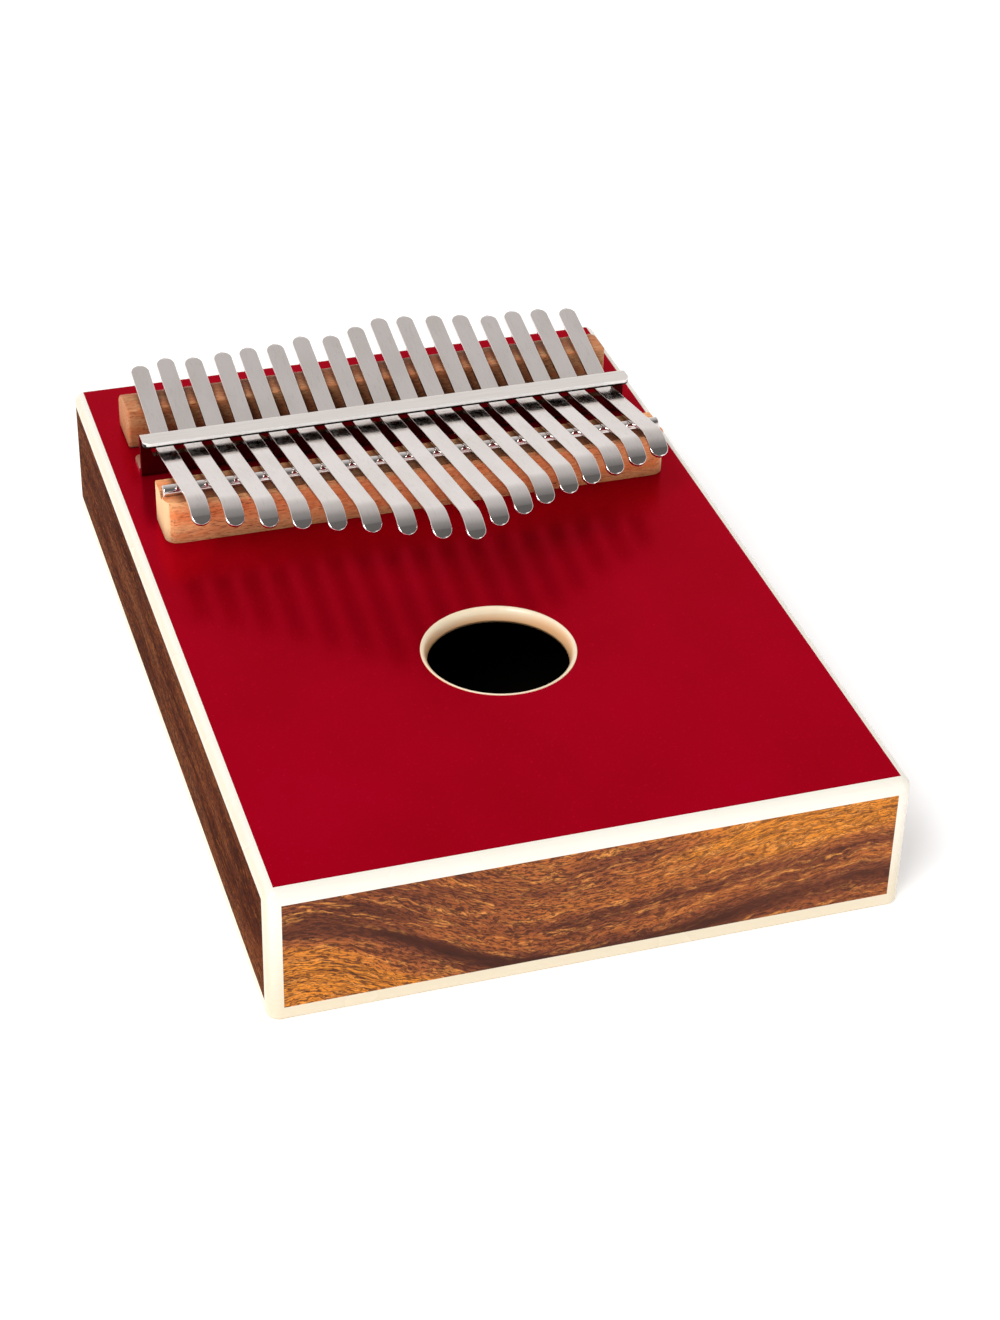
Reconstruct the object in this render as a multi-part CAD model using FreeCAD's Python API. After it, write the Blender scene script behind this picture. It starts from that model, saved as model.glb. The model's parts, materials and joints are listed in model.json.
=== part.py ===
import FreeCAD, Part
import math
import os

from FreeCAD import Vector

# A 17-tine box mbira, in millimetres. The origin is the centre of the bottom face.
# +X is the player's right, +Y runs from the player to the clamped end, +Z is up.

os.makedirs("parts", exist_ok=True)

# ---- sound box ----
BODY_W = 130.0
BODY_L = 196.0
BODY_H = 31.0
EDGE_ROUND = 2.6                   # the upright and top edges
BASE_ROUND = 0.7                   # the bottom edges
WALL = 4.0
BINDING_H = 3.1                    # how far the binding shows on a side face
BINDING_W = 2.1                    # how far it shows on the top and bottom faces
BOARD = BINDING_H                  # the boards are as thick as the binding is tall
HALF_W = BODY_W / 2
HALF_L = BODY_L / 2
TOP_Z = BODY_H
WALL_TOP = BODY_H - BOARD

# ---- sound hole ----
HOLE_Y = 64.6 - HALF_L
RING_OUTER_R = 16.3
RING_INNER_R = 14.8
RING_PROUD = 0.2

# ---- bridge block with its rod, and the rear block ----
BLOCK_HALF_W = BODY_W / 2 - 7.5
BRIDGE_CORNER_R = 3.0              # the bridge block's two front corners
BLOCK_CORNER_R = 0.8               # all the blocks' other upright corners
BRIDGE_FRONT = 24.3
BRIDGE_DEPTH = 12.0
BRIDGE_FRONT_H = 10.1
BRIDGE_REAR_H = 9.6
ROD_R = 1.5
ROD_Y = BRIDGE_FRONT + 0.44 * BRIDGE_DEPTH
ROD_Z = TOP_Z + 10.3
REAR_FRONT = 67.0
REAR_DEPTH = 11.8
REAR_FRONT_H = 9.9
REAR_BACK_H = 6.9

# ---- clamp bar: one bent sheet with a foot, an upright web and a lip over the tines ----
CLAMP_HALF_W = 57.3
SHEET = 1.2
BEND_R = 0.6                       # inner radius of both bends
WEB_FRONT = 53.3
CLAMP_H = 11.4
LIP_DEPTH = 5.8
FOOT_DEPTH = 8.9
CLAMP_CORNER_R = 1.8
SLOT_HALF_W = 54.8
SLOT_BOTTOM = 5.3
SLOT_CORNER_R = 1.2

# ---- screws through the foot ----
SCREW_R = 1.5
SCREW_LENGTH = 13.0
SCREW_HEAD_R = 2.7
SCREW_HEAD_H = 1.9
SCREW_Y = WEB_FRONT + 5.2
BRACE_T = 10.0
BRACE_DEPTH = 26.0

# ---- tines ----
TINES = 17
PITCH = 6.5
TINE_W = 4.2
TINE_T = 1.0
TINE_GAP = 0.05                    # clearance on the rod and on the rear block
RISE = math.radians(11.8)          # slope of the playing end, upwards to the player
TAIL_RISE = math.radians(12.0)     # slope of the tail, upwards to the rear
SADDLE_R = 10.0                    # the curve under the clamp that joins the two slopes
TIP_BEND_R = 7.2
TIP_RUN = 7.2                      # how far forward the bent-down tip reaches
LONGEST_TIP = 79.5 - HALF_L
SHORTEST_TIP = 111.8 - HALF_L
# Tail ends, from the rear block's front edge: each tine was slid by hand to tune it.
TAILS = [13.5, 15.0, 14.0, 14.5, 15.0, 15.0, 16.5, 15.5, 17.5, 19.5, 19.0, 18.0, 17.0, 15.5, 16.0, 15.5, 14.5]


def box(x0, x1, y0, y1, z0, z1):
    return Part.makeBox(x1 - x0, y1 - y0, z1 - z0, Vector(x0, y0, z0))


def cylinder_z(radius, x, y, z0, z1):
    return Part.makeCylinder(radius, z1 - z0, Vector(x, y, z0))


def save(name, shape):
    """Writes one sub-part, as one solid or as a group of solids."""
    if len(shape.Solids) == 1:
        shape = shape.Solids[0]
    shape.exportStep("parts/" + name + ".step")


def group(shapes):
    return Part.makeCompound([solid for shape in shapes for solid in shape.Solids])


def edges_along(shape, direction):
    """The straight edges that run along a direction."""
    found = []
    for edge in shape.Edges:
        if edge.Curve.TypeId == "Part::GeomLine" and abs(edge.Curve.Direction.dot(direction)) > 0.999:
            found.append(edge)
    return found


def prism_x(points, half_width):
    """A solid with a polygon of (y, z) points as its section, from -half_width to half_width in X."""
    corners = [Vector(-half_width, y, z) for y, z in points]
    face = Part.Face(Part.makePolygon(corners + corners[:1]))
    return face.extrude(Vector(2 * half_width, 0, 0))


# ---------------------------------------------------------------- bent strips

class Strip:
    """Walks a sheet's section in the YZ plane. The path is the sheet's right-hand face as one walks,
    and the sheet's other face lies one thickness to the left."""

    def __init__(self, y, z, heading, thickness):
        self.at = Vector(0, y, z)
        self.heading = heading
        self.thickness = thickness
        self.path = []
        self.offset = []

    def left(self, heading):
        return Vector(0, -math.sin(heading), math.cos(heading))

    def other(self):
        return self.at + self.left(self.heading) * self.thickness

    def line(self, length):
        start, start_other = self.at, self.other()
        self.at = self.at + Vector(0, math.cos(self.heading), math.sin(self.heading)) * length
        self.path.append(Part.makeLine(start, self.at))
        self.offset.append(Part.makeLine(start_other, self.other()))
        return self

    def turn(self, radius, angle):
        """Turns left by a positive angle and right by a negative one; the radius is the path's."""
        side = math.copysign(1.0, angle)
        centre = self.at + self.left(self.heading) * (radius * side)
        start, start_other = self.at, self.other()
        middle = self.heading + angle / 2
        self.heading = self.heading + angle
        inner = radius - side * self.thickness
        mid_path = centre - self.left(middle) * (radius * side)
        mid_other = centre - self.left(middle) * (inner * side)
        self.at = centre - self.left(self.heading) * (radius * side)
        self.path.append(Part.Arc(start, mid_path, self.at).toShape())
        self.offset.append(Part.Arc(start_other, mid_other, self.other()).toShape())
        return self

    def solid(self, x0, x1):
        ends = [Part.makeLine(self.at, self.other())]
        first, first_other = self.path[0].Vertexes[0].Point, self.offset[0].Vertexes[0].Point
        ends.append(Part.makeLine(first, first_other))
        wire = Part.Wire(Part.__sortEdges__(self.path + self.offset + ends))
        body = Part.Face(wire).extrude(Vector(x1 - x0, 0, 0))
        body.translate(Vector(x0, 0, 0))
        return body


# ---------------------------------------------------------------- sound box

def rounded_body():
    """The whole outer envelope: round upright and top edges, and eased bottom edges."""
    body = box(-HALF_W, HALF_W, -HALF_L, HALF_L, 0, BODY_H)
    body = body.makeFillet(EDGE_ROUND, [edge for edge in body.Edges if edge.BoundBox.ZMax > 0.01])
    return body.makeFillet(BASE_ROUND, [edge for edge in body.Edges if edge.BoundBox.ZMax < 0.01])


ENVELOPE = rounded_body()


def screw_xs():
    """The screws sit in the fourth, eighth and twelfth gaps between the tines."""
    return [(gap + 0.5 - (TINES + 1) / 2) * PITCH for gap in (4, 8, 12)]


def board(z0, z1):
    inset_x, inset_y = HALF_W - BINDING_W, HALF_L - BINDING_W
    return ENVELOPE.common(box(-inset_x, inset_x, -inset_y, inset_y, z0, z1))


def top_board():
    shape = board(WALL_TOP, TOP_Z)
    shape = shape.cut(cylinder_z(RING_OUTER_R, 0, HOLE_Y, WALL_TOP - 1, TOP_Z + 1))
    for x in screw_xs():
        shape = shape.cut(cylinder_z(SCREW_R, x, SCREW_Y, WALL_TOP - 1, TOP_Z + 1))
    return shape


def sound_hole_ring():
    ring = cylinder_z(RING_OUTER_R, 0, HOLE_Y, WALL_TOP, TOP_Z + RING_PROUD)
    ring = ring.cut(cylinder_z(RING_INNER_R, 0, HOLE_Y, WALL_TOP - 1, TOP_Z + 1))
    rims = []
    for edge in ring.Edges:
        if edge.BoundBox.ZMin > TOP_Z and edge.Closed:
            rims.append(edge)
    return ring.makeFillet(0.5 * (RING_OUTER_R - RING_INNER_R) - 0.15, rims)


def walls():
    """The four side boards. The front and rear ones cover the ends of the left and right ones."""
    x_end, y_end = HALF_W - BINDING_H, HALF_L - BINDING_H
    z0, z1 = BINDING_H, WALL_TOP
    front = box(-x_end, x_end, -HALF_L, -HALF_L + WALL, z0, z1)
    rear = box(-x_end, x_end, HALF_L - WALL, HALF_L, z0, z1)
    left = box(-HALF_W, -HALF_W + WALL, -y_end, y_end, z0, z1).cut(front).cut(rear)
    right = box(HALF_W - WALL, HALF_W, -y_end, y_end, z0, z1).cut(front).cut(rear)
    return {"front": front, "rear": rear, "left": left, "right": right}


def flat_binding(z0, z1):
    """Four strips round the top or the bottom edge. The left and right ones butt against the other two."""
    y_in, x_in = HALF_L - BINDING_W, HALF_W - BINDING_W
    strips = {
        "front": box(-HALF_W, HALF_W, -HALF_L, -y_in, z0, z1),
        "rear": box(-HALF_W, HALF_W, y_in, HALF_L, z0, z1),
        "left": box(-HALF_W, -x_in, -y_in, y_in, z0, z1),
        "right": box(x_in, HALF_W, -y_in, y_in, z0, z1),
    }
    return {side: ENVELOPE.common(strip) for side, strip in strips.items()}


def corner_binding():
    """The four upright strips, between the top and the bottom ones."""
    size = BINDING_H
    strips = {}
    for end, y0 in (("front", -HALF_L), ("rear", HALF_L - size)):
        for side, x0 in (("left", -HALF_W), ("right", HALF_W - size)):
            strip = box(x0, x0 + size, y0, y0 + size, BINDING_H, WALL_TOP)
            strips[end + "_" + side] = ENVELOPE.common(strip)
    return strips


def corner_blocks():
    """Three-sided glue blocks in the four inside corners."""
    leg = 12.0
    x, y = HALF_W - WALL, HALF_L - WALL
    blocks = []
    for sx in (-1, 1):
        for sy in (-1, 1):
            corners = [
                Vector(sx * x, sy * y, BINDING_H),
                Vector(sx * (x - leg), sy * y, BINDING_H),
                Vector(sx * x, sy * (y - leg), BINDING_H),
            ]
            face = Part.Face(Part.makePolygon(corners + corners[:1]))
            blocks.append(face.extrude(Vector(0, 0, WALL_TOP - BINDING_H)))
    return group(blocks)


def clamp_brace():
    """The hardwood bar glued under the top board that the clamp's screws bite into."""
    half = HALF_W - WALL
    y0 = SCREW_Y - BRACE_DEPTH / 2
    bar = box(-half, half, y0, y0 + BRACE_DEPTH, WALL_TOP - BRACE_T, WALL_TOP)
    depth = SCREW_LENGTH - SHEET - BOARD
    for x in screw_xs():
        bar = bar.cut(cylinder_z(SCREW_R, x, SCREW_Y, WALL_TOP - depth, WALL_TOP + 1))
    return bar


# ---------------------------------------------------------------- blocks and rod

def rounded_block(points, front, depth, front_radius):
    """A block of a given section with rounded upright corners."""
    plan = box(-BLOCK_HALF_W, BLOCK_HALF_W, front, front + depth, TOP_Z, TOP_Z + 20)
    upright = edges_along(plan, Vector(0, 0, 1))
    front_edges = [edge for edge in upright if edge.BoundBox.YMax < front + depth / 2]
    plan = plan.makeFillet(front_radius, front_edges)
    upright = edges_along(plan, Vector(0, 0, 1))
    rear_edges = [edge for edge in upright if edge.BoundBox.YMin > front + depth - 0.01]
    plan = plan.makeFillet(BLOCK_CORNER_R, rear_edges)
    return prism_x(points, BLOCK_HALF_W).common(plan)


def rod(half_length):
    start = Vector(-half_length, ROD_Y, ROD_Z)
    return Part.makeCylinder(ROD_R, 2 * half_length, start, Vector(1, 0, 0))


def bridge_block():
    front, rear = BRIDGE_FRONT, BRIDGE_FRONT + BRIDGE_DEPTH
    soft, crisp = 0.7, 0.3         # the broken edges along the top, at the front and at the rear
    section = [
        (front, TOP_Z),
        (front, TOP_Z + BRIDGE_FRONT_H - soft),
        (front + soft, TOP_Z + BRIDGE_FRONT_H),
        (rear - crisp, TOP_Z + BRIDGE_REAR_H),
        (rear, TOP_Z + BRIDGE_REAR_H - crisp),
        (rear, TOP_Z),
    ]
    block = rounded_block(section, front, BRIDGE_DEPTH, BRIDGE_CORNER_R)
    return block.cut(rod(BLOCK_HALF_W + 1))


def bridge_rod():
    shape = rod(BLOCK_HALF_W - 0.4)
    return shape.makeChamfer(0.25, [edge for edge in shape.Edges if edge.Closed])


def rear_block():
    front, rear = REAR_FRONT, REAR_FRONT + REAR_DEPTH
    crest = front + 0.62 * REAR_DEPTH
    section = [
        (front, TOP_Z),
        (front, TOP_Z + REAR_FRONT_H),
        (crest, TOP_Z + REAR_FRONT_H - 0.2),
        (crest + 0.22 * REAR_DEPTH, TOP_Z + REAR_FRONT_H - 1.2),
        (rear, TOP_Z + REAR_BACK_H),
        (rear, TOP_Z),
    ]
    return rounded_block(section, front, REAR_DEPTH, BLOCK_CORNER_R)


# ---------------------------------------------------------------- clamp

def round_plate_corners(shape, y_edge, inwards, z0, z1):
    """Rounds the two corners of a plate where its free edge meets its ends."""
    radius = CLAMP_CORNER_R
    for side in (-1, 1):
        x_edge = side * CLAMP_HALF_W
        x_in = x_edge - side * radius
        y_in = y_edge + inwards * radius
        corner = box(min(x_edge, x_in), max(x_edge, x_in), min(y_edge, y_in), max(y_edge, y_in), z0, z1)
        shape = shape.cut(corner.cut(cylinder_z(radius, x_in, y_in, z0, z1)))
    return shape


def clamp_bar():
    """One bent sheet: the foot is screwed to the top board, the web has a slot for the tines."""
    outer = BEND_R + SHEET
    quarter = math.pi / 2
    foot = FOOT_DEPTH - outer
    web = CLAMP_H - 2 * outer
    lip = LIP_DEPTH - outer
    foot_rear = WEB_FRONT + FOOT_DEPTH
    section = Strip(foot_rear, TOP_Z + SHEET, math.pi, SHEET)
    section.line(foot).turn(BEND_R, -quarter).line(web).turn(outer, quarter).line(lip)
    bar = section.solid(-CLAMP_HALF_W, CLAMP_HALF_W)

    slot = box(-SLOT_HALF_W, SLOT_HALF_W, WEB_FRONT - 1, WEB_FRONT + SHEET + 1,
               TOP_Z + SLOT_BOTTOM, TOP_Z + CLAMP_H - outer)
    slot = slot.makeFillet(SLOT_CORNER_R, edges_along(slot, Vector(0, 1, 0)))
    bar = bar.cut(slot)

    lip_front = WEB_FRONT + SHEET - LIP_DEPTH
    bar = round_plate_corners(bar, foot_rear, -1, TOP_Z - 1, TOP_Z + SHEET + 1)
    bar = round_plate_corners(bar, lip_front, 1, TOP_Z + CLAMP_H - SHEET - 0.2, TOP_Z + CLAMP_H + 1)
    for x in screw_xs():
        bar = bar.cut(cylinder_z(SCREW_R, x, SCREW_Y, TOP_Z - 1, TOP_Z + SHEET + 1))
    return bar


def clamp_screw(x):
    """A round-headed wood screw with a cross recess."""
    seat = TOP_Z + SHEET
    head = cylinder_z(SCREW_HEAD_R, x, SCREW_Y, seat, seat + SCREW_HEAD_H)
    rim = [edge for edge in head.Edges if edge.Closed and edge.BoundBox.ZMin > seat + 0.1]
    head = head.makeFillet(1.1, rim)
    arm, half = 1.6, 0.35
    recess_z = seat + SCREW_HEAD_H - 0.9
    for dx, dy in ((arm, half), (half, arm)):
        recess = box(x - dx, x + dx, SCREW_Y - dy, SCREW_Y + dy, recess_z, recess_z + 2)
        head = head.cut(recess)
    point = 2.5
    tip = seat - SCREW_LENGTH
    shank = cylinder_z(SCREW_R, x, SCREW_Y, tip + point, seat)
    cone = Part.makeCone(0.3, SCREW_R, point, Vector(x, SCREW_Y, tip))
    return head.fuse(shank).fuse(cone).removeSplitter()


# ---------------------------------------------------------------- tines

def tine_x(number):
    return (number - (TINES + 1) / 2) * PITCH


def tip_y(number):
    """The longest tine is the middle one, and they get shorter to the left and right in turn."""
    middle = (TINES + 1) // 2
    away = abs(number - middle)
    rank = 2 * away - (1 if number < middle else 0)
    return LONGEST_TIP + (SHORTEST_TIP - LONGEST_TIP) * (rank / (TINES - 1)) ** 0.85


def underside_at_rod():
    """Where the underside of a tine passes over the rod."""
    reach = ROD_R + TINE_GAP
    return ROD_Y + reach * math.sin(RISE), ROD_Z + reach * math.cos(RISE)


def saddle():
    """How far back the straight undersides of playing end and tail, carried on, meet."""
    rod_y, rod_z = underside_at_rod()
    rear_y, rear_z = REAR_FRONT, TOP_Z + REAR_FRONT_H + TINE_GAP
    fall, climb = math.tan(RISE), math.tan(TAIL_RISE)
    return (rod_z - rear_z + fall * rod_y + climb * rear_y) / (fall + climb)


def tine_plan(x, front, rear, front_angle):
    """The outline from above. Both ends are half round when seen square on to the steel."""
    r = TINE_W / 2
    front_r, rear_r = r * math.cos(front_angle), r * math.cos(TAIL_RISE)
    y0, y1 = front + front_r, rear - rear_r

    def end(y, reach, towards):
        if reach >= r:
            return Part.Arc(Vector(x - r, y, 0), Vector(x, y + towards * r, 0), Vector(x + r, y, 0)).toShape()
        curve = Part.Ellipse(Vector(x, y, 0), r, reach)
        first, last = (math.pi, 2 * math.pi) if towards < 0 else (0, math.pi)
        return curve.toShape(first, last)

    sides = [Part.makeLine(Vector(x - r, y0, 0), Vector(x - r, y1, 0)),
             Part.makeLine(Vector(x + r, y0, 0), Vector(x + r, y1, 0))]
    edges = sides + [end(y0, front_r, -1), end(y1, rear_r, 1)]
    face = Part.Face(Part.Wire(Part.__sortEdges__(edges)))
    return face.extrude(Vector(0, 0, TOP_Z + 60))


def tine(number):
    """One spring-steel strip: bent-down tip, rise over the rod, saddle under the clamp, rising tail."""
    x = tine_x(number)
    front = tip_y(number)
    rear = REAR_FRONT + TAILS[number - 1]
    tip_angle = math.asin(TIP_RUN / TIP_BEND_R - math.sin(RISE))
    bend_y = front + TIP_RUN
    rod_y, rod_z = underside_at_rod()
    bend_z = rod_z + (rod_y - bend_y) * math.tan(RISE)
    start_z = bend_z - TIP_BEND_R * (math.cos(RISE) - math.cos(tip_angle))
    saddle_y = saddle()
    tangent = SADDLE_R * math.tan((RISE + TAIL_RISE) / 2)
    front_run = (saddle_y - bend_y) / math.cos(RISE) - tangent
    rear_run = (rear + 1.0 - saddle_y) / math.cos(TAIL_RISE) - tangent
    section = Strip(front, start_z, tip_angle, TINE_T)
    section.turn(TIP_BEND_R, -(tip_angle + RISE)).line(front_run)
    section.turn(SADDLE_R, RISE + TAIL_RISE).line(rear_run)
    strip = section.solid(x - TINE_W / 2, x + TINE_W / 2)
    return strip.common(tine_plan(x, front - TINE_T * math.sin(tip_angle), rear, tip_angle))


# ---------------------------------------------------------------- all the pieces

def main():
    save("top_board", top_board())
    save("back_board", board(0, BOARD))
    save("sound_hole_ring", sound_hole_ring())
    for side, shape in walls().items():
        save(side + "_side", shape)
    for side, shape in flat_binding(WALL_TOP, TOP_Z).items():
        save("top_binding_" + side, shape)
    for side, shape in flat_binding(0, BINDING_H).items():
        save("bottom_binding_" + side, shape)
    for corner, shape in corner_binding().items():
        save("corner_binding_" + corner, shape)
    save("corner_blocks", corner_blocks())
    save("clamp_brace", clamp_brace())
    save("bridge_block", bridge_block())
    save("bridge_rod", bridge_rod())
    save("rear_block", rear_block())
    save("clamp_bar", clamp_bar())
    save("clamp_screws", group([clamp_screw(x) for x in screw_xs()]))
    for number in range(1, TINES + 1):
        save("tine_%02d" % number, tine(number))


main()
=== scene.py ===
import json
import math
import random

import bmesh
import bpy
from mathutils import Matrix, Vector
from mathutils.bvhtree import BVHTree

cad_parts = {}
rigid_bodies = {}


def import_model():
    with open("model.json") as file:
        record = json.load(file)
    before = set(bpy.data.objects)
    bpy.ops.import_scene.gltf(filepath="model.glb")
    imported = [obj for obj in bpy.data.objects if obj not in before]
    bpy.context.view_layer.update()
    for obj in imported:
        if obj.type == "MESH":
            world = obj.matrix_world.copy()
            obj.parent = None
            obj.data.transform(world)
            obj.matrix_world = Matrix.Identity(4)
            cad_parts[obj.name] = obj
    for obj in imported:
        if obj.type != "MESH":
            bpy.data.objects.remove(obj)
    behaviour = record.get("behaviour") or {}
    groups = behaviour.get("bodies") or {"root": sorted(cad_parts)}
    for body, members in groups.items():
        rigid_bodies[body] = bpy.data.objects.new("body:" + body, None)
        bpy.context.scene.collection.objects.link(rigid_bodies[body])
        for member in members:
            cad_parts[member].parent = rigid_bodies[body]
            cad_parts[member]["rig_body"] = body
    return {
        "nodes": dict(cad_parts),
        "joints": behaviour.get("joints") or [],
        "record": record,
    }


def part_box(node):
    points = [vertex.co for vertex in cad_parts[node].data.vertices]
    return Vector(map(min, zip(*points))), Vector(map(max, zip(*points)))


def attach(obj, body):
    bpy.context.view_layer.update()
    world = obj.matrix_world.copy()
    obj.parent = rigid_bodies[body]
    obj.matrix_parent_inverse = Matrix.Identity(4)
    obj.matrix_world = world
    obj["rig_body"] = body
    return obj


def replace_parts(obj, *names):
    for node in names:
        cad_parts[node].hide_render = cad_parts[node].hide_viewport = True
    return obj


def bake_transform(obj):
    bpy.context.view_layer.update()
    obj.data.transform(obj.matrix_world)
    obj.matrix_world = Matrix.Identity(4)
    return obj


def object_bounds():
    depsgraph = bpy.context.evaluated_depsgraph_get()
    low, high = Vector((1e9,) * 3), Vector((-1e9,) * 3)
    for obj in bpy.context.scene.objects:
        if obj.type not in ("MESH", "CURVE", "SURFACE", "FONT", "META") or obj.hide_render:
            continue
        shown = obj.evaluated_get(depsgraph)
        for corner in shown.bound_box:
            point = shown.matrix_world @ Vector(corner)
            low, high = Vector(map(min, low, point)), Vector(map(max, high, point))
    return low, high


# The looks of a 17-tine box mbira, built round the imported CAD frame.
# Metres. +X is the player's right, +Y the clamped end, +Z up.

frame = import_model()
CAD_LOW, CAD_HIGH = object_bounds()

MM = 0.001
TINE_THICKNESS = 1.0 * MM
SLOTS = {part["node"]: part["material_slot"] for part in frame["record"]["subparts"]}
TINES = sorted(node for node in SLOTS if node.startswith("tine_"))
PRESS = {joint["child"]: joint for joint in frame["joints"]}
BOX_LOW, BOX_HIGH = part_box("bottom_binding_front")[0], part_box("top_board")[1]

LONGWAYS = (0.0, 0.0, math.radians(90))
ALONG_X = (0.0, 0.0, 0.0)


def colour(red, green, blue):
    """A colour given as it looks on a screen, 0 to 255, as the linear values that a shader takes."""
    def linear(value):
        value = value / 255
        return value / 12.92 if value <= 0.04045 else ((value + 0.055) / 1.055) ** 2.4
    return (linear(red), linear(green), linear(blue), 1.0)


# ---------------------------------------------------------------- materials

class Finish:
    """Builds one procedural material. Each method adds nodes and gives back the socket with the result."""

    def __init__(self, name):
        self.material = bpy.data.materials.new(name)
        self.material.use_nodes = True
        self.tree = self.material.node_tree
        self.shader = self.tree.nodes["Principled BSDF"]

    def feed(self, node, inputs):
        for key, value in inputs.items():
            if isinstance(value, bpy.types.NodeSocket):
                self.tree.links.new(value, node.inputs[key])
            else:
                node.inputs[key].default_value = value

    def node(self, kind, inputs, **settings):
        node = self.tree.nodes.new(kind)
        for key, value in settings.items():
            setattr(node, key, value)
        self.feed(node, inputs)
        return node

    def point(self):
        return self.node("ShaderNodeTexCoord", {}).outputs["Object"]

    def stretched(self, point, size_x, size_y, size_z):
        """Coordinates in which a texture's features have these sizes, in millimetres."""
        scale = (1 / (size_x * MM), 1 / (size_y * MM), 1 / (size_z * MM))
        return self.node("ShaderNodeMapping", {"Vector": point, "Scale": scale}).outputs["Vector"]

    def turned(self, point, turn):
        return self.node("ShaderNodeMapping", {"Vector": point, "Rotation": turn}).outputs["Vector"]

    def noise(self, vector, detail=3.0, roughness=0.5, distortion=0.0):
        inputs = {"Vector": vector, "Scale": 1.0, "Detail": detail,
                  "Roughness": roughness, "Distortion": distortion}
        return self.node("ShaderNodeTexNoise", inputs)

    def value(self, vector, detail=3.0, roughness=0.5, distortion=0.0):
        return self.noise(vector, detail, roughness, distortion).outputs["Fac"]

    def math(self, operation, first, second=0.0, third=0.0):
        node = self.node("ShaderNodeMath", {0: first, 1: second, 2: third}, operation=operation)
        return node.outputs["Value"]

    def span(self, value, low, high, new_low=0.0, new_high=1.0):
        """Maps low..high to new_low..new_high smoothly, and holds the ends."""
        inputs = {"Value": value, "From Min": low, "From Max": high, "To Min": new_low, "To Max": new_high}
        return self.node("ShaderNodeMapRange", inputs, interpolation_type="SMOOTHSTEP").outputs["Result"]

    def ramp(self, value, stops):
        node = self.node("ShaderNodeValToRGB", {"Fac": value})
        elements = node.color_ramp.elements
        while len(elements) < len(stops):
            elements.new(1.0)
        for element, (place, shade) in zip(elements, stops):
            element.position = place
            element.color = shade
        return node.outputs["Color"]

    def mix(self, share, first, second, kind="MIX"):
        node = self.node("ShaderNodeMix", {}, data_type="RGBA", blend_type=kind)
        self.feed(node, {"Factor": share, 6: first, 7: second})
        return node.outputs[2]

    def warped(self, point, size, amount):
        """Shifts a point by up to about half the amount, so that straight grain wanders, in millimetres."""
        push = self.noise(self.stretched(point, *size), 2.0).outputs["Color"]
        middle = self.node("ShaderNodeVectorMath", {0: push, 1: (0.5, 0.5, 0.5)}, operation="SUBTRACT")
        shift = {0: middle.outputs[0], "Scale": amount * MM}
        far = self.node("ShaderNodeVectorMath", shift, operation="SCALE")
        moved = self.node("ShaderNodeVectorMath", {0: point, 1: far.outputs[0]}, operation="ADD")
        return moved.outputs[0]

    def bump(self, height, depth, strength=1.0):
        """A bump whose full height is the depth in millimetres."""
        inputs = {"Height": height, "Distance": depth * MM, "Strength": strength}
        return self.node("ShaderNodeBump", inputs).outputs["Normal"]

    def part(self, vector, axis):
        return self.node("ShaderNodeSeparateXYZ", {"Vector": vector}).outputs[axis]

    def joined(self, x, y, z):
        return self.node("ShaderNodeCombineXYZ", {"X": x, "Y": y, "Z": z}).outputs["Vector"]

    def normal(self):
        return self.node("ShaderNodeNewGeometry", {}).outputs["Normal"]

    def openness(self, reach):
        """1 where nothing stands within this many millimetres, down to 0 deep in a gap."""
        node = self.node("ShaderNodeAmbientOcclusion", {"Distance": reach * MM}, samples=8)
        return node.outputs["AO"]

    def inside_box(self, point):
        """1 on faces that look into the sound box, 0 on its outside."""
        wall = 1.0 * MM
        inside = 1.0
        for axis, low, high in zip("XYZ", BOX_LOW, BOX_HIGH):
            middle, half = (low + high) / 2, (high - low) / 2 - wall
            reach = self.math("ABSOLUTE", self.math("SUBTRACT", self.part(point, axis), middle))
            inside = self.math("MULTIPLY", inside, self.math("LESS_THAN", reach, half))
        return inside

    def finish(self, **inputs):
        self.feed(self.shader, {key.replace("_", " "): value for key, value in inputs.items()})
        return self.material


def red_lacquer():
    """Deep red metallic lacquer. Half of its light is mirrored, always tinted by the lacquer itself."""
    f = Finish("red_lacquer_gloss")
    point = f.point()
    cloud = f.value(f.stretched(point, 38, 46, 38), 3.0, 0.55)
    body = f.ramp(cloud, [(0.3, colour(164, 0, 22)), (0.72, colour(176, 0, 30))])
    flakes = f.node("ShaderNodeTexVoronoi", {"Vector": f.stretched(point, 0.32, 0.32, 0.32), "Scale": 1.0})
    glint = f.span(f.part(flakes.outputs["Color"], "X"), 0.90, 1.0)
    fine = f.value(f.stretched(point, 0.5, 0.5, 0.5), 2.0)
    sparkle = f.math("MULTIPLY", glint, f.span(fine, 0.45, 0.65))
    body = f.mix(f.math("MULTIPLY", sparkle, 0.5), body, colour(214, 20, 58))
    # Painted shade: faces inside the sound box are painted near black.
    body = f.mix(f.inside_box(point), body, colour(12, 8, 6))
    peel = f.value(f.stretched(point, 5.0, 5.0, 5.0), 2.0)
    dust = f.value(f.stretched(point, 0.8, 0.8, 0.8), 3.0)
    roughness = f.span(dust, 0.3, 0.8, 0.2, 0.24)
    return f.finish(Base_Color=body, Metallic=0.52, Roughness=roughness, Specular_Tint=colour(255, 60, 190),
                    Specular_IOR_Level=0.02, Normal=f.bump(peel, 0.008))


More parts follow.
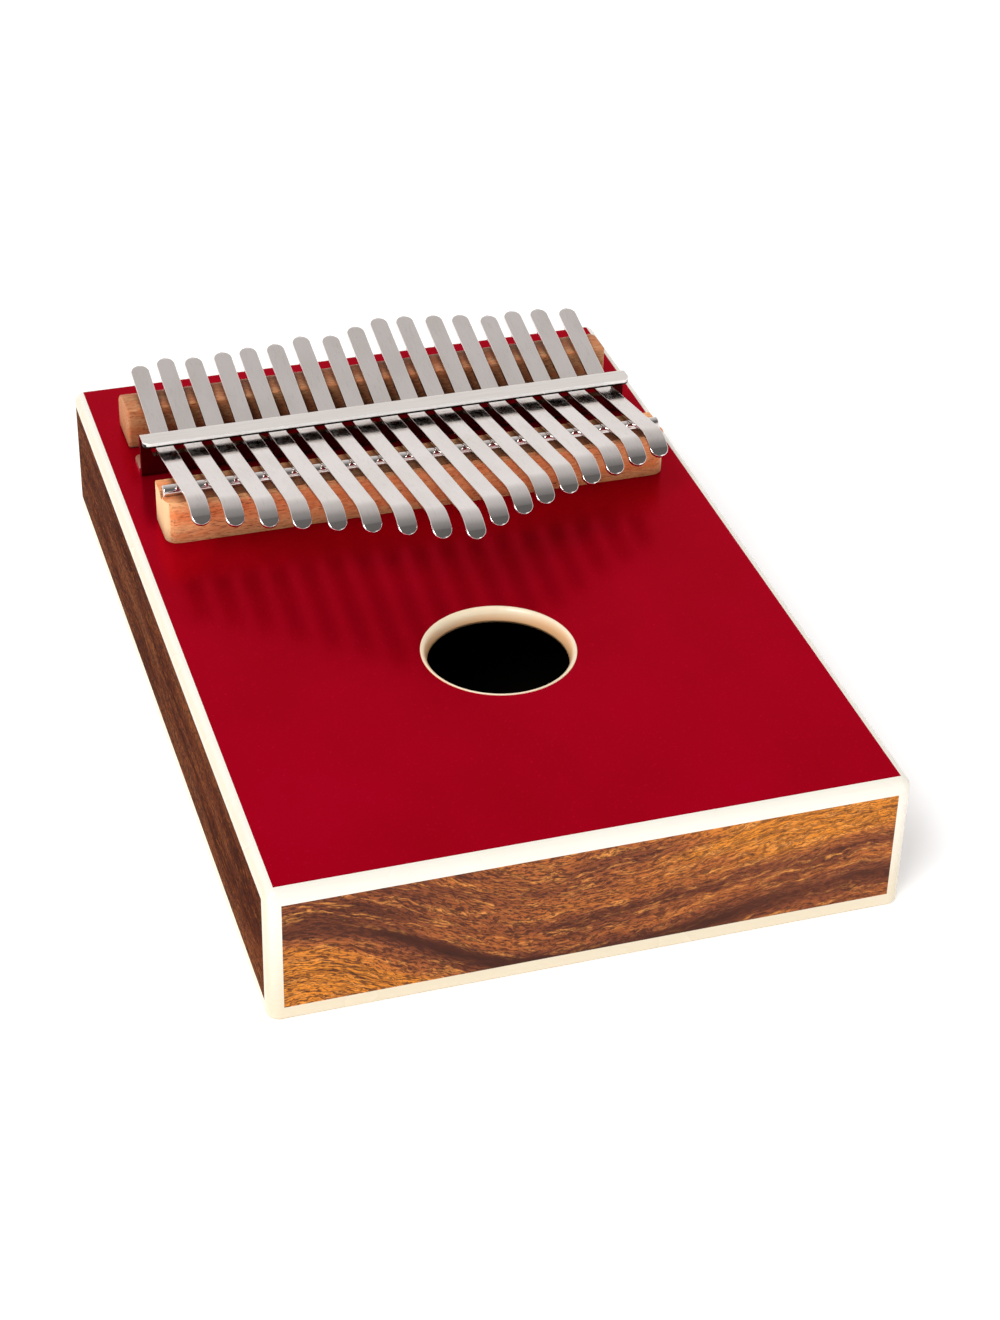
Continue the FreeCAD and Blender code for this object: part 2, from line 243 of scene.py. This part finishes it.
def cream_binding(name, deep, pale, low, high):
    """Polished cream strip with faint lengthwise streaks and a little wear. Light and shade are painted into
    it: it pales from the low to the high level, stays deep on faces that look sideways, and is darkest under
    its rounded lower edge."""
    f = Finish(name)
    point = f.point()
    streak = f.value(f.stretched(f.warped(point, (30, 30, 30), 2), 16, 16, 0.7), 4.0, 0.6)
    cloud = f.value(f.stretched(point, 22, 22, 22), 2.0)
    # Painted light: paler higher up, and deeper lower down as painted shade.
    rise = f.span(f.part(point, "Z"), low, high)
    # Painted shade: faces that look sideways keep the deep colour.
    front = f.span(f.math("ABSOLUTE", f.part(f.normal(), "X")), 0.5, 0.95, 1.0, 0.15)
    paleness = f.math("MULTIPLY_ADD", f.math("SUBTRACT", streak, 0.5), 0.4, f.math("MULTIPLY", rise, front))
    base = f.mix(paleness, deep, pale)
    base = f.mix(f.span(cloud, 0.42, 0.75, 0.0, 0.1), base, deep)
    # Painted shade under the rounded lower edge.
    under = f.span(f.part(f.normal(), "Z"), -0.75, -0.1, 0.75, 0.0)
    base = f.mix(under, base, colour(186, 158, 122))
    speck = f.span(f.value(f.stretched(point, 0.9, 0.9, 0.9), 4.0, 0.7), 0.72, 0.82)
    base = f.mix(f.math("MULTIPLY", speck, 0.3), base, colour(196, 160, 118))
    polish = f.span(cloud, 0.3, 0.7, 0.16, 0.3)
    waves = f.value(f.stretched(point, 3.5, 3.5, 3.5), 2.0)
    return f.finish(Base_Color=base, Roughness=polish, Subsurface_Weight=0.06, Subsurface_Scale=1.5 * MM,
                    Specular_IOR_Level=0.4, Normal=f.bump(waves, 0.015))


def swept(f, grain):
    """The grain's level across the board. It dips towards the board's middle and climbs back a little."""
    along, level = f.part(grain, "X"), f.part(grain, "Z")
    dip = f.span(along, -62 * MM, -8 * MM, 0.0, 20 * MM)
    climb = f.span(along, -5 * MM, 62 * MM, 0.0, -8 * MM)
    return f.math("ADD", level, f.math("ADD", dip, climb))


def dark_sweeps(f, grain, flow):
    """1 along the board's two dark streaks: one follows the sweep, one lies level in the right half."""
    first = f.math("ABSOLUTE", f.math("SUBTRACT", f.part(flow, "Z"), BOX_LOW.z + 21.5 * MM))
    second = f.math("ABSOLUTE", f.math("SUBTRACT", f.part(flow, "Z"), BOX_LOW.z + 31 * MM))
    right = f.span(f.part(grain, "X"), -24 * MM, 4 * MM)
    first = f.span(first, 0.2 * MM, 4.5 * MM, 1.0, 0.0)
    second = f.math("MULTIPLY", f.span(second, 0.2 * MM, 3.0 * MM, 0.42, 0.0), right)
    return f.math("MAXIMUM", first, second)


def wavy_lightness(f, grain, flow):
    """How much lighter the wavy board is under its first streak and in its upper right half. Its middle is
    a little darker."""
    along, level = f.part(grain, "X"), f.part(grain, "Z")
    below = f.span(f.part(flow, "Z"), BOX_LOW.z + 12 * MM, BOX_LOW.z + 19 * MM, 0.18, 0.0)
    upper = f.span(level, BOX_LOW.z + 15 * MM, BOX_LOW.z + 24 * MM)
    right = f.span(along, 5 * MM, 35 * MM, -0.03, 0.2)
    off_middle = f.math("ABSOLUTE", f.math("ADD", along, 6 * MM))
    middle = f.span(off_middle, 6 * MM, 30 * MM, -0.05, 0.0)
    return f.math("ADD", f.math("MULTIPLY_ADD", upper, right, below), middle)


def figured_wood(name, turn, tone_scale, gloss, wavy):
    """Orange brown board with dark flecks and open pores. The grain runs along the turned X.
    A wavy board has two dark streaks across it; the others are straight grained."""
    f = Finish(name)
    point = f.point()
    grain = f.turned(point, turn)
    if wavy:
        flow = f.joined(f.part(grain, "X"), f.part(grain, "Y"), swept(f, grain))
    else:
        flow = grain
    flow = f.warped(flow, (30, 30, 14), 6)
    flow = f.warped(flow, (4, 4, 2.5), 1.5)
    flow = f.warped(flow, (1.3, 1.3, 0.8), 0.6)

    bands = f.value(f.stretched(flow, 60, 60, 8), 3.0, 0.55)
    sweep = dark_sweeps(f, grain, flow) if wavy else 0.0
    depth = f.math("MULTIPLY_ADD", sweep, -0.2, bands)
    if wavy:
        depth = f.math("ADD", depth, wavy_lightness(f, grain, flow))
    tone = f.ramp(depth, [
        (0.20, colour(64, 30, 20)),
        (0.38, colour(140, 76, 46)),
        (0.52, colour(194, 112, 54)),
        (0.68, colour(232, 144, 48)),
    ])
    streaks = f.value(f.stretched(flow, 18, 24, 1.3), 4.0, 0.65)
    tone = f.mix(f.span(streaks, 0.48, 0.68, 0.0, 0.65), tone, colour(84, 40, 26))
    light = f.value(f.stretched(flow, 7, 9, 1.0), 3.0, 0.65)
    glow = f.math("MULTIPLY", f.span(light, 0.5, 0.68, 0.0, 0.75), f.math("SUBTRACT", 1.0, sweep))
    tone = f.mix(glow, tone, colour(246, 166, 84))

    fleck = f.value(f.stretched(flow, 1.4, 1.4, 0.36), 3.0, 0.65)
    strength = f.span(f.part(grain, "X"), 0.0, 35 * MM, 0.8, 0.6) if wavy else 0.8
    tone = f.mix(f.span(fleck, 0.45, 0.58, 0.0, strength), tone, colour(64, 32, 26))
    fibre = f.value(f.stretched(flow, 3.6, 3.6, 0.24), 3.0, 0.65)
    tone = f.mix(f.span(fibre, 0.48, 0.66, 0.0, 0.6), tone, colour(70, 32, 20))
    pores = f.value(f.stretched(flow, 2.4, 2.0, 0.26), 3.0, 0.6)
    pore = f.span(pores, 0.6, 0.68)
    tone = f.mix(f.math("MULTIPLY", pore, 0.6), tone, colour(38, 18, 12))
    # The tone scale multiplies the colour. On the darker side and back cuts it holds painted shade for how
    # the light falls on them, as well as the wood's own tone.
    tone = f.mix(1.0, tone, tone_scale, "MULTIPLY")
    # Painted shade: faces inside the sound box are painted near black.
    tone = f.mix(f.inside_box(point), tone, colour(10, 7, 5))

    height = f.math("SUBTRACT", f.math("MULTIPLY", fibre, 0.4), f.math("MULTIPLY", pore, 0.6))
    sheen = f.span(bands, 0.3, 0.7, 0.55, 0.42)
    return f.finish(Base_Color=tone, Roughness=sheen, Specular_IOR_Level=gloss,
                    Normal=f.bump(height, 0.05, 0.7))


def block_wood(name, end_light_share, tone_scale):
    """Bare, sanded reddish hardwood with short dark pores along X. Painted light on its ends, painted shade
    in gaps between the tines.
    """
    f = Finish(name)
    point = f.point()
    flow = f.warped(point, (26, 12, 12), 1.6)
    flow = f.warped(flow, (3, 1.5, 1.5), 0.5)
    bands = f.value(f.stretched(flow, 60, 5, 4), 3.0, 0.5)
    tone = f.ramp(bands, [
        (0.3, colour(249, 145, 87)),
        (0.5, colour(254, 172, 114)),
        (0.7, colour(255, 200, 140)),
    ])
    fibre = f.value(f.stretched(flow, 2.2, 0.5, 0.45), 4.0, 0.7)
    tone = f.mix(f.span(fibre, 0.44, 0.66, 0.0, 0.5), tone, colour(187, 90, 56))
    pale = f.value(f.stretched(flow, 2.6, 0.6, 0.5), 3.0, 0.6)
    tone = f.mix(f.span(pale, 0.54, 0.72, 0.0, 0.5), tone, colour(255, 214, 160))
    pores = f.value(f.stretched(flow, 1.9, 0.3, 0.26), 2.0, 0.5)
    pore = f.span(pores, 0.6, 0.68)
    tone = f.mix(f.math("MULTIPLY", pore, 0.6), tone, colour(127, 57, 38))
    # Painted light: the end faces are paler, as if lit from the side.
    painted_end_light = f.span(f.math("ABSOLUTE", f.part(f.normal(), "X")), 0.6, 0.76, 0.0, end_light_share)
    tone = f.mix(painted_end_light, tone, colour(255, 226, 176))
    # Painted shade where the wood is hemmed in: in gaps and under the tines.
    painted_shade_share = f.span(f.openness(10), 0.25, 0.8, 0.88, 0.0)
    tone = f.mix(painted_shade_share, tone, colour(52, 20, 11))
    # The tone scale makes the rear block darker all over.
    tone = f.mix(1.0, tone, tone_scale, "MULTIPLY")
    height = f.math("SUBTRACT", f.math("MULTIPLY", fibre, 0.5), pore)
    return f.finish(Base_Color=tone, Roughness=0.62, Specular_IOR_Level=0.15,
                    Normal=f.bump(height, 0.06, 0.8))


def inner_wood():
    """Sawn glue blocks, painted near black as shade, like the rest of the inside."""
    f = Finish("inner_wood_dark")
    point = f.point()
    saw = f.value(f.stretched(point, 9, 0.5, 9), 3.0)
    tone = f.ramp(saw, [(0.3, colour(14, 10, 7)), (0.7, colour(30, 21, 14))])
    return f.finish(Base_Color=tone, Roughness=0.85, Normal=f.bump(saw, 0.2))


def steel(name, shade, smooth, grain, scratch_depth):
    """Nickel-bright steel. The grain gives the sizes of the rolling marks along X, Y and Z."""
    f = Finish(name)
    point = f.point()
    marks = f.value(f.stretched(point, *grain), 3.0, 0.6)
    cloud = f.value(f.stretched(point, 7, 16, 7), 2.0)
    tone = f.mix(f.span(cloud, 0.35, 0.7), shade, f.mix(1.0, shade, (0.94, 0.93, 0.92, 1.0), "MULTIPLY"))
    tone = f.mix(f.span(marks, 0.5, 0.8, 0.0, 0.14), tone, colour(150, 146, 142))
    haze = f.math("ADD", f.span(marks, 0.3, 0.7, 0.0, 0.08), f.span(cloud, 0.3, 0.7, smooth, smooth + 0.06))
    return f.finish(Base_Color=tone, Metallic=1.0, Roughness=haze,
                    Normal=f.bump(marks, scratch_depth))


def clamp_zones(f, point):
    """Three shares of the clamp's sheet: painted shade on the steel, the darkest painted shade near the lip,
    and a painted highlight on the cut edge. The upper half of the cut edge is painted bright to the camera,
    and the tines mirror all of it as painted shade."""
    x, y, z = f.part(point, "X"), f.part(point, "Y"), f.part(point, "Z")
    low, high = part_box("clamp_bar")
    set_back = f.span(y, low.y + 0.3 * MM, low.y + 0.5 * MM)
    below_top = f.math("LESS_THAN", z, high.z - 0.4 * MM)
    foot_end = f.math("MULTIPLY", f.math("LESS_THAN", x, low.x + 1.2 * MM),
                      f.math("GREATER_THAN", y, low.y + 7.2 * MM))
    low_half = f.span(z, high.z - 0.9 * MM, high.z - 0.6 * MM, 1.0, 0.0)
    # Rays other than the camera's see the whole lower sheet as painted shade, a painted dark reflection in
    # the tines.
    mirrored = f.math("SUBTRACT", 1.0, f.node("ShaderNodeLightPath", {}).outputs["Is Camera Ray"])
    # Painted shade on the faces set back from the lip's front and on the lower half of its cut edge.
    painted_shade_share = f.math("MAXIMUM", set_back, f.math("MAXIMUM", low_half, mirrored))
    folded = f.math("MULTIPLY", below_top, painted_shade_share)
    painted_shade_zone = f.math("MULTIPLY", folded, f.math("SUBTRACT", 1.0, foot_end))
    upright = f.span(f.part(f.normal(), "Z"), 0.6, 0.95, 1.0, 0.0)
    # Painted highlight on the upper half of the lip's cut edge, where the camera sees it.
    painted_edge_highlight = f.math("MULTIPLY", upright, f.math("SUBTRACT", 1.0, painted_shade_share))
    # Darkest painted shade: under the lip and on the top of the web.
    painted_deep_shade = f.math("MULTIPLY", painted_shade_zone, f.span(z, high.z - 2.1 * MM, high.z - 1.9 * MM))
    return painted_shade_zone, painted_deep_shade, painted_edge_highlight


def clamp_steel():
    """Bent sheet steel: brushed on top, with a painted highlight along the lip's cut edge and painted shade
    in the fold.
    """
    f = Finish("clamp_steel_brushed")
    point = f.point()
    brush = f.value(f.stretched(point, 14, 0.35, 0.35), 3.0, 0.6)
    cloud = f.value(f.stretched(point, 12, 12, 12), 2.0)
    painted_shade_zone, painted_deep_shade, painted_edge_highlight = clamp_zones(f, point)
    tone = f.ramp(brush, [(0.3, colour(236, 228, 223)), (0.7, colour(246, 240, 236))])
    # Painted shade in the fold and behind the lip's front, and near black painted shade under the lip.
    tone = f.mix(f.math("MULTIPLY", painted_shade_zone, 0.92), tone, colour(82, 68, 64))
    tone = f.mix(f.math("MULTIPLY", painted_deep_shade, 0.96), tone, colour(30, 26, 24))
    # Painted highlight: the cut edge is near white and not metallic.
    tone = f.mix(painted_edge_highlight, tone, colour(255, 253, 250))
    rough_top = f.span(cloud, 0.3, 0.7, 0.30, 0.38)
    roughness = f.math("MULTIPLY_ADD", painted_shade_zone, f.math("SUBTRACT", 0.12, rough_top), rough_top)
    metal = f.math("SUBTRACT", 1.0, painted_edge_highlight)
    return f.finish(Base_Color=tone, Metallic=metal, Roughness=roughness, Normal=f.bump(brush, 0.004))


def floor_paper():
    """Plain pale floor with the faintest unevenness."""
    f = Finish("floor_paper")
    cloud = f.value(f.stretched(f.point(), 400, 400, 400), 2.0)
    tone = f.ramp(cloud, [(0.3, colour(250, 250, 250)), (0.7, colour(253, 253, 253))])
    return f.finish(Base_Color=tone, Roughness=0.9, Specular_IOR_Level=0.1,
                    Emission_Color=tone, Emission_Strength=0.34)


def make_materials():
    """One material for each slot of the record, and some nodes' own cuts of the same wood or cream."""
    steel_shade = colour(229, 221, 218)
    tine_grain, rod_grain, screw_grain = (0.5, 12, 0.5), (0.3, 4, 4), (1, 1, 1)
    # The left, right and back cuts are darker copies of the front wood. Their tone scales hold painted shade
    # for how the light falls on each side, together with the wood's own tone.
    across = figured_wood("body_wood_across", ALONG_X, (0.98, 0.93, 0.88, 1), 0.12, True)
    darker = figured_wood("body_wood_left", LONGWAYS, (0.32, 0.22, 0.18, 1), 0.002, False)
    lengthways = figured_wood("body_wood_lengthways", LONGWAYS, (0.5, 0.42, 0.38, 1), 0.05, False)
    cream, white = colour(229, 216, 190), colour(246, 240, 228)
    orange, peach = colour(250, 194, 140), colour(255, 236, 206)
    ring_low, ring_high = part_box("sound_hole_ring")
    # The bindings pale upwards as painted light: the body's binding up to 3 mm under the top, and the ring
    # from its foot to its top, deep orange low in the hole as painted shade.
    pale_from = BOX_HIGH.z - 3 * MM
    return {
        "red_lacquer": red_lacquer(),
        "cream_binding": cream_binding("cream_binding_polished", cream, white, BOX_LOW.z, pale_from),
        "sound_hole_ring": cream_binding("cream_ring_polished", orange, peach, ring_low.z, ring_high.z),
        "body_wood": across,
        "left_side": darker,
        "right_side": lengthways,
        "back_board": lengthways,
        # The second number is each block's share of painted light on its end faces.
        "block_wood": block_wood("bridge_wood_bare", 0.7, (1.0, 1.0, 1.0, 1)),
        "rear_block": block_wood("rear_block_wood_bare", 0.1, (0.64, 0.59, 0.6, 1)),
        "inner_wood": inner_wood(),
        "tine_steel": steel("tine_steel_rolled", steel_shade, 0.05, tine_grain, 0.002),
        "rod_steel": steel("rod_steel_polished", steel_shade, 0.06, rod_grain, 0.002),
        "screw_steel": steel("screw_steel_plated", colour(208, 203, 196), 0.2, screw_grain, 0.004),
        "clamp_steel": clamp_steel(),
    }


def dress(obj, node, materials):
    """Gives an object the finish of a CAD node, or else that of the record's slot that the node comes from.
    """
    finish = materials.get(node, materials.get(SLOTS[node]))
    obj.data.materials.clear()
    obj.data.materials.append(finish)


# ---------------------------------------------------------------- pieces

def new_object(name, mesh):
    obj = bpy.data.objects.new(name, mesh)
    bpy.context.scene.collection.objects.link(obj)
    return obj


def smooth(obj):
    """Smooth shading that keeps broad faces flat."""
    for face in obj.data.polygons:
        face.use_smooth = True
    weighted = obj.modifiers.new("flat faces stay flat", "WEIGHTED_NORMAL")
    weighted.keep_sharp = True
    return obj


def eased_copy(node, radius, segments=3, sharp=25):
    """A copy of a CAD node whose sharp edges are eased, as sanding or tumbling leaves them."""
    source = frame["nodes"][node]
    mesh = bmesh.new()
    mesh.from_mesh(source.data)
    bmesh.ops.remove_doubles(mesh, verts=mesh.verts, dist=1e-6)
    bmesh.ops.dissolve_limit(mesh, angle_limit=math.radians(0.6), verts=mesh.verts, edges=mesh.edges)
    edges = [e for e in mesh.edges if e.is_manifold and e.calc_face_angle() > math.radians(sharp)]
    bmesh.ops.bevel(mesh, geom=edges, offset=radius, offset_type="OFFSET", segments=segments,
                    profile=0.5, affect="EDGES", clamp_overlap=True)
    data = bpy.data.meshes.new(node + "_eased")
    mesh.to_mesh(data)
    mesh.free()
    obj = smooth(new_object(node + "_eased", data))
    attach(obj, source["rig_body"])
    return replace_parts(obj, node)


def ring_bead(node, width, segments=112):
    """The ring round the sound hole, with its top rolled over into the hole."""
    low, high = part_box(node)
    middle = (low + high) / 2
    outer = (high.x - low.x) / 2
    inner, brim, drop, steps = outer - width, 0.12 * MM, 2.6 * MM, 9
    profile = [(outer, low.z), (outer, high.z - brim), (outer - brim, high.z)]
    for step in range(1, steps + 1):
        angle = math.pi / 2 * step / steps
        radius = inner + (width - brim) * (1 - math.sin(angle))
        profile.append((radius, high.z - drop * (1 - math.cos(angle))))
    profile.append((inner, low.z))
    mesh = bmesh.new()
    rings = []
    for i in range(segments):
        angle = 2 * math.pi * i / segments
        way = Vector((math.cos(angle), math.sin(angle), 0))
        ring = [Vector((middle.x, middle.y, z)) + way * radius for radius, z in profile]
        rings.append([mesh.verts.new(corner) for corner in ring])
    for first, second in zip(rings, rings[1:] + rings[:1]):
        for i in range(len(profile)):
            j = (i + 1) % len(profile)
            mesh.faces.new((first[i], second[i], second[j], first[j]))
    bmesh.ops.recalc_face_normals(mesh, faces=mesh.faces)
    data = bpy.data.meshes.new(node + "_bead")
    mesh.to_mesh(data)
    mesh.free()
    bead = smooth(new_object(node + "_bead", data))
    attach(bead, frame["nodes"][node]["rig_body"])
    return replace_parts(bead, node)


# ---- tines ----

def centre_line(node):
    """Points along the middle of a tine's section, from front end to rear end, read off the CAD solid."""
    source = frame["nodes"][node].data
    low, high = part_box(node)
    x = (low.x + high.x) / 2
    tree = BVHTree.FromPolygons([v.co for v in source.vertices], [p.vertices for p in source.polygons])
    step, margin = 0.8 * MM, 1.4 * MM
    count = round((high.y - low.y - 2 * margin) / step)
    points = []
    for i in range(count + 1):
        y = low.y + margin + (high.y - low.y - 2 * margin) * i / count
        top = tree.ray_cast(Vector((x, y, high.z + step)), Vector((0, 0, -1)))[0]
        under = tree.ray_cast(Vector((x, y, low.z - step)), Vector((0, 0, 1)))[0]
        points.append((top + under) / 2)
    front = points[0] - (points[1] - points[0]).normalized() * ((points[0].y - low.y) * 1.02)
    rear = points[-1] + (points[-1] - points[-2]).normalized() * margin
    return [front] + points + [rear]


def resample(points, distances):
    """Points at given distances along a polyline, and the direction of travel at each."""
    lengths = [0.0]
    for a, b in zip(points, points[1:]):
        lengths.append(lengths[-1] + (b - a).length)
    found, index = [], 0
    for distance in distances:
        while index < len(points) - 2 and lengths[index + 1] < distance:
            index += 1
        share = (distance - lengths[index]) / (lengths[index + 1] - lengths[index])
        found.append(points[index].lerp(points[index + 1], share))
    before, after = found[:1] + found[:-1], found[1:] + found[-1:]
    ways = [(b - a).normalized() for a, b in zip(before, after)]
    return found, ways


def stations(length, end_radius):
    """Distances along a tine: close together over the rounded ends, even between them."""
    steps, spacing = 9, 1.1 * MM
    end = [end_radius * (1 - math.cos(math.pi / 2 * (i + 0.35) / steps)) for i in range(steps)]
    run = length - 2 * end_radius
    count = round(run / spacing)
    middle = [end_radius + run * i / count for i in range(count + 1)]
    return end + middle + [length - d for d in reversed(end)]


def section_ring(half_width, half_height, corner):
    """A rectangle with rounded corners, as (sideways, upwards) offsets."""
    corner = min(corner, half_width * 0.9, half_height * 0.9)
    ring = []
    for quarter, (sx, sz) in enumerate(((1, 1), (-1, 1), (-1, -1), (1, -1))):
        for step in range(4):
            angle = math.pi / 2 * (quarter + step / 3)
            ring.append((sx * (half_width - corner) + corner * math.cos(angle),
                         sz * (half_height - corner) + corner * math.sin(angle)))
    return ring


def tine_mesh(node, yaw):
    """One flattened steel strip with half-round ends and soft edges, turned by a small yaw about the rod."""
    low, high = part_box(node)
    half_width = (high.x - low.x) / 2
    half_height = TINE_THICKNESS / 2
    line = centre_line(node)
    length = sum((b - a).length for a, b in zip(line, line[1:]))
    distances = stations(length, half_width)
    points, ways = resample(line, distances)
    mesh = bmesh.new()
    rings = []
    for distance, point, way in zip(distances, points, ways):
        from_end = min(distance, length - distance, half_width)
        width = math.sqrt(max(half_width ** 2 - (half_width - from_end) ** 2, 1e-12))
        up = Vector((1, 0, 0)).cross(way).normalized()
        corners = section_ring(width, half_height, 0.24 * MM)
        rings.append([mesh.verts.new(point + Vector((side, 0, 0)) + up * rise) for side, rise in corners])
    for first, second in zip(rings, rings[1:]):
        for i in range(len(first)):
            j = (i + 1) % len(first)
            mesh.faces.new((first[i], first[j], second[j], second[i]))
    mesh.faces.new(list(reversed(rings[0])))
    mesh.faces.new(rings[-1])
    pivot = Vector(PRESS[node]["pos_m"])
    bmesh.ops.rotate(mesh, verts=mesh.verts, cent=pivot, matrix=Matrix.Rotation(yaw, 3, "Z"))
    bmesh.ops.recalc_face_normals(mesh, faces=mesh.faces)
    data = bpy.data.meshes.new(node + "_strip")
    mesh.to_mesh(data)
    mesh.free()
    return data


def add_tines(materials):
    """Each tine as a strip with soft edges in place of its CAD node, turned by a small random yaw about its
    joint.
    """
    draw = random.Random(17)
    for node in TINES:
        yaw = math.radians(draw.uniform(-0.45, 0.45))
        tine = smooth(new_object(node + "_strip", tine_mesh(node, yaw)))
        low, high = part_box(node)
        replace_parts(tine, node)
        dress(tine, node, materials)
        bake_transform(tine)


def add_pieces(materials):
    for node, obj in frame["nodes"].items():
        dress(obj, node, materials)
    eased = {
        "bridge_block": 0.35 * MM,
        "rear_block": 0.45 * MM,
        "clamp_bar": 0.3 * MM,
        "bridge_rod": 0.12 * MM,
        "clamp_screws": 0.08 * MM,
    }
    for node, radius in eased.items():
        dress(eased_copy(node, radius), node, materials)
    dress(ring_bead("sound_hole_ring", 1.5 * MM), "sound_hole_ring", materials)
    add_tines(materials)


# ---------------------------------------------------------------- studio

def add_floor():
    bpy.ops.mesh.primitive_plane_add(size=24.0, location=(0, 0, CAD_LOW.z))
    floor = bpy.context.object
    floor.name = "floor"
    floor.data.materials.append(floor_paper())


def add_softbox(name, place, size, power, aim):
    light = bpy.data.lights.new(name, "AREA")
    light.shape = "RECTANGLE"
    light.size, light.size_y = size
    light.energy = power
    box = bpy.data.objects.new(name, light)
    box.location = place
    box.rotation_mode = "QUATERNION"
    box.rotation_quaternion = (Vector(aim) - Vector(place)).to_track_quat("-Z", "Y")
    bpy.context.scene.collection.objects.link(box)


def add_world():
    """A studio in the round: bright low down, dimmer overhead, and darkest above the camera's side."""
    world = bpy.data.worlds.new("studio")
    bpy.context.scene.world = world
    world.use_nodes = True
    tree = world.node_tree
    tree.nodes.clear()

    def add(kind, **settings):
        node = tree.nodes.new(kind)
        for key, value in settings.items():
            setattr(node, key, value)
        return node

    def shades(stops):
        ramp = add("ShaderNodeValToRGB")
        elements = ramp.color_ramp.elements
        while len(elements) < len(stops):
            elements.new(1.0)
        for element, (degrees, level) in zip(elements, stops):
            element.position = math.sin(math.radians(degrees))
            element.color = (level, level * 0.99, level * 0.975, 1)
        tree.links.new(split.outputs["Z"], ramp.inputs["Fac"])
        return ramp.outputs["Color"]

    where = add("ShaderNodeTexCoord")
    split = add("ShaderNodeSeparateXYZ")
    tree.links.new(where.outputs["Generated"], split.inputs["Vector"])
    behind = shades([(0, 0.92), (14, 0.94), (30, 0.78), (44, 0.68), (59, 0.60), (75, 0.47), (90, 0.32)])
    before = shades([(0, 1.0), (16, 0.95), (26, 0.25), (38, 0.14), (64, 0.13), (76, 0.20), (90, 0.32)])
    turn = add("ShaderNodeMapRange", interpolation_type="SMOOTHSTEP")
    turn.inputs["From Min"].default_value = -0.35
    turn.inputs["From Max"].default_value = 0.35
    tree.links.new(split.outputs["Y"], turn.inputs["Value"])
    mix = add("ShaderNodeMix", data_type="RGBA")
    tree.links.new(turn.outputs["Result"], mix.inputs["Factor"])
    tree.links.new(before, mix.inputs[6])
    tree.links.new(behind, mix.inputs[7])
    background = add("ShaderNodeBackground")
    background.inputs["Strength"].default_value = 1.0
    output = add("ShaderNodeOutputWorld")
    tree.links.new(mix.outputs[2], background.inputs["Color"])
    tree.links.new(background.outputs["Background"], output.inputs["Surface"])


def add_camera():
    """The picture's viewpoint: from the front left, looking down, with a long lens."""
    azimuth, elevation, roll = math.radians(-18.1), math.radians(34.7), math.radians(1.44)
    back = Vector((math.sin(azimuth) * math.cos(elevation),
                   -math.cos(azimuth) * math.cos(elevation),
                   math.sin(elevation)))
    camera = bpy.data.objects.new("camera", bpy.data.cameras.new("camera"))
    camera.data.sensor_width = 36.0
    camera.data.lens = 77.2
    camera.rotation_mode = "QUATERNION"
    camera.rotation_quaternion = (Matrix.Rotation(roll, 4, back).to_quaternion()
                                  @ (-back).to_track_quat("-Z", "Y"))
    camera.location = (-0.1496, -0.4922, 0.3626)
    camera.data.clip_start, camera.data.clip_end = 0.01, 20.0
    bpy.context.scene.collection.objects.link(camera)
    bpy.context.scene.camera = camera


def add_studio():
    add_floor()
    add_world()
    add_softbox("key", (-1.45, -1.25, 2.3), (1.3, 1.3), 58.0, (0, 0, 0))
    add_softbox("fill", (1.6, -2.0, 1.2), (1.2, 1.2), 6.0, (0, 0, 0))
    bpy.context.scene.view_settings.view_transform = "Standard"
    add_camera()


add_pieces(make_materials())
add_studio()
